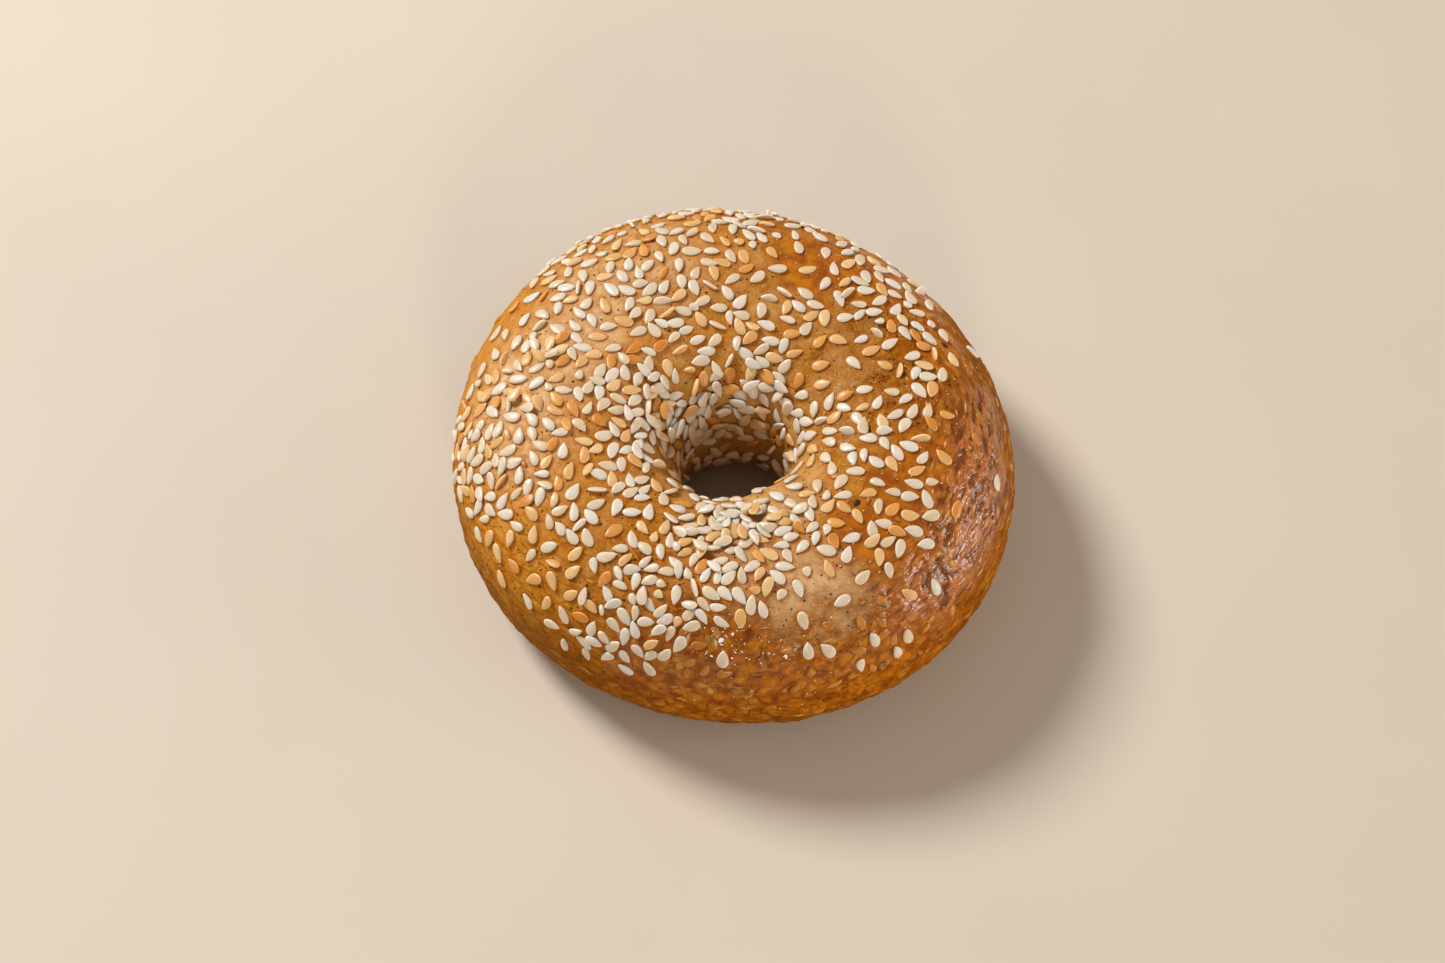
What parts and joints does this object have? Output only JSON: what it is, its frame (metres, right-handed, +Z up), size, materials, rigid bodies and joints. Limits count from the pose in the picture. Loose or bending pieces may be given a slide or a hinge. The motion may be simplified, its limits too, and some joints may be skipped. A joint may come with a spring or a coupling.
{
  "type": "bagel",
  "caption": "Baked sesame bagel: a plump uneven ring of dough round a small hole, golden brown crust, its top covered in sesame seeds, flat underneath.",
  "frame": {"origin": "on the surface the bagel rests on, under the middle of its outline", "axes": "+Z up through the hole, -Y towards the side with the bare amber patch, +X to its right; millimetres in the source"},
  "size_m": [0.1082, 0.1076, 0.0385],
  "materials": {
    "crust": "baked, satin on top, glossier and browner low on the sides",
    "seed_cream": "dry cream seed skin, low sheen",
    "seed_golden": "lightly toasted seed skin, low sheen",
    "seed_toasted": "toasted brown seed skin, low sheen",
    "seed_glazed": "seed baked in under the glossy crust",
    "char": "matt burnt crumb"
  },
  "bodies": {
    "root": {"bagel": "crust"}
  },
  "joints": []
}
